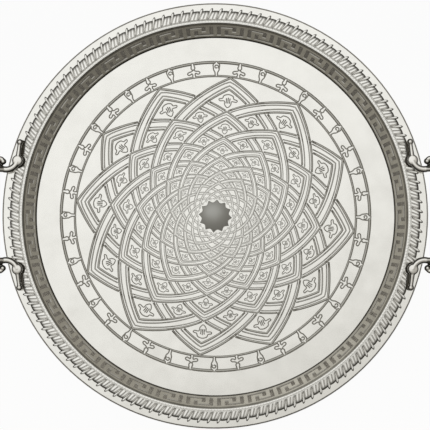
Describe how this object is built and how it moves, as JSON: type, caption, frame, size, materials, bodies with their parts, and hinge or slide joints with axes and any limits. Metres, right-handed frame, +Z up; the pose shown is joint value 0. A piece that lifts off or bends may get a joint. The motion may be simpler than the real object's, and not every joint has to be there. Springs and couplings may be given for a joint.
{
  "type": "seder plate",
  "caption": "Round polished seder tray with a sloping pierced Greek-key gallery, a gadrooned rim and cast scroll handles on either side.",
  "frame": {"origin": "on the table, under the middle of the tray", "axes": "+Z up out of the tray, +X through the middle of the right handle"},
  "size_m": [0.4324, 0.356, 0.0526],
  "materials": {
    "floor": "polished silver plate with engraved lines",
    "gallery": "polished silver plate, a little toned",
    "rim": "polished silver plate",
    "border": "polished silver plate with dark recesses",
    "handle": "polished silver plate over a casting",
    "screw": "plated steel"
  },
  "bodies": {
    "root": {"base_plate": "floor", "foot_ring": "floor", "gallery_band": "gallery", "rim_flange": "rim", "bead_wire": "border", "gadroon_border": "border", "right_handle": "handle", "left_handle": "handle", "handle_screws": "screw"}
  },
  "joints": []
}
